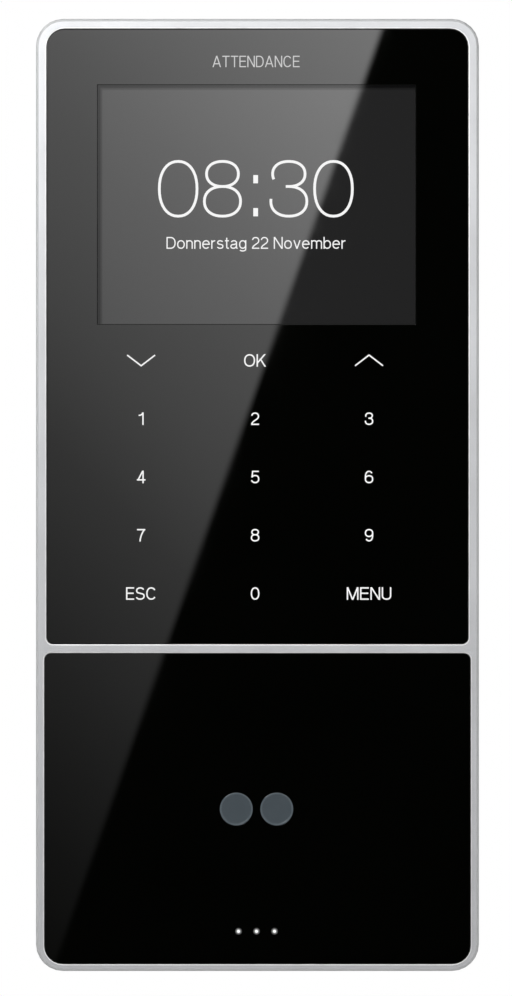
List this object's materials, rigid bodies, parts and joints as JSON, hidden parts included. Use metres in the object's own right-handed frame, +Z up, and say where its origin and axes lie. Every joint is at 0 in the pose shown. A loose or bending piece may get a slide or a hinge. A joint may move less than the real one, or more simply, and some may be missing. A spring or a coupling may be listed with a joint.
{
  "type": "punch time clock",
  "caption": "Wall-hung staff time clock: a slim silver case with two gloss-black front panels, a display, lit touch keys, a badge reader and camera windows, on a hooked wall plate.",
  "frame": {"origin": "centre of the wall plate's back face, on the wall, half way up the case", "axes": "+Z up the wall, +Y into the wall, -Y out of the wall towards the user, +X to the right as the user sees the front"},
  "size_m": [0.0936, 0.033, 0.201],
  "materials": {
    "plate_steel": "zinc-plated sheet, satin",
    "case_silver": "satin silver",
    "rear_plastic": "fine moulded texture",
    "panel_black": "high-gloss acrylic",
    "tape": "foam tape",
    "display": "polished, lit characters",
    "module_white": "moulded frame",
    "flex": "polyimide film",
    "film": "printed film",
    "light_guide": "polished",
    "board": "solder mask",
    "led": "moulded",
    "copper": "etched track",
    "camera_black": "anodised look",
    "lens": "coated",
    "window": "polished, smoked",
    "chip": "moulded epoxy",
    "connector": "moulded",
    "can": "tinned",
    "cell": "nickel-plated",
    "socket_steel": "nickel-plated",
    "socket_black": "moulded",
    "gold_pin": "gold-plated",
    "tongue": "moulded",
    "screw": "zinc-plated",
    "insert": "turned",
    "nylon": "nylon",
    "speaker_black": "moulded",
    "magnet": "nickel-plated",
    "cone": "coated paper",
    "spring": "drawn wire",
    "switch": "moulded",
    "plunger": "moulded acetal",
    "reset": "moulded"
  },
  "bodies": {
    "wall_bracket": {"wall_plate": "plate_steel"},
    "terminal": {"rear_cover": "rear_plastic", "recess_floor": "rear_plastic", "port_tray": "rear_plastic", "lock_housing": "rear_plastic", "front_frame": "case_silver", "upper_panel": "panel_black", "lower_panel": "panel_black", "upper_panel_tape": "tape", "lower_panel_tape": "tape", "display_glass": "display", "display_backlight": "module_white", "display_gasket": "tape", "display_cable": "flex", "touch_film": "film", "light_guide": "light_guide", "key_board": "board", "key_leds": "led", "key_cable": "flex", "badge_reader_board": "board", "badge_reader_coil": "copper", "camera_board": "board", "camera_bracket": "camera_black", "camera_barrels": "camera_black", "camera_lenses": "lens", "camera_windows": "window", "camera_cable": "flex", "light_pipes": "light_guide", "status_board": "board", "status_leds": "led", "main_board": "board", "board_chips": "chip", "flex_connectors": "connector", "radio_module": "can", "clock_cell": "cell", "cell_holder": "socket_black", "network_socket": "socket_steel", "power_socket": "socket_black", "power_pin": "gold_pin", "usb_socket": "socket_steel", "usb_tongue": "tongue", "board_screws": "screw", "case_screws": "screw", "lock_insert": "insert", "speaker_frame": "speaker_black", "speaker_magnet": "magnet", "tamper_switch": "switch", "tamper_spring": "spring", "reset_switch": "switch"},
    "lock_screw": {"lock_screw": "screw"},
    "lock_washer": {"lock_washer": "nylon"},
    "speaker_diaphragm": {"speaker_diaphragm": "cone"},
    "tamper_plunger": {"tamper_plunger": "plunger"},
    "reset_button": {"reset_button": "reset"}
  },
  "joints": [
    {"name": "terminal_lift", "type": "slide", "parent": "wall_bracket", "child": "terminal", "axis": [0, 0, 1], "range_m": [0, 0.005]},
    {"name": "lock_screw_travel", "type": "slide", "parent": "wall_bracket", "child": "lock_washer", "axis": [0, 0, -1], "range_m": [0, 0.0035]},
    {"name": "lock_screw_turn", "type": "hinge", "parent": "lock_washer", "child": "lock_screw", "pos_m": [0, -0.008, -0.0885], "axis": [0, 0, -1], "range_deg": [0, 2520]},
    {"name": "tamper_press", "type": "slide", "parent": "terminal", "child": "tamper_plunger", "axis": [0, -1, 0], "range_m": [0, 0.001], "stiffness_N_per_m": 200, "springref_m": -0.002, "deforming": ["tamper_spring"]},
    {"name": "reset_press", "type": "slide", "parent": "terminal", "child": "reset_button", "axis": [0, 0, 1], "range_m": [0, 0.0003], "stiffness_N_per_m": 500, "springref_m": -0.0005},
    {"name": "diaphragm_travel", "type": "slide", "parent": "terminal", "child": "speaker_diaphragm", "axis": [0, 1, 0], "range_m": [-0.0003, 0.0003], "stiffness_N_per_m": 300}
  ],
  "couplings": [
    {"joint": "lock_screw_turn", "follows": "lock_screw_travel", "rad_per_m": 12566}
  ]
}
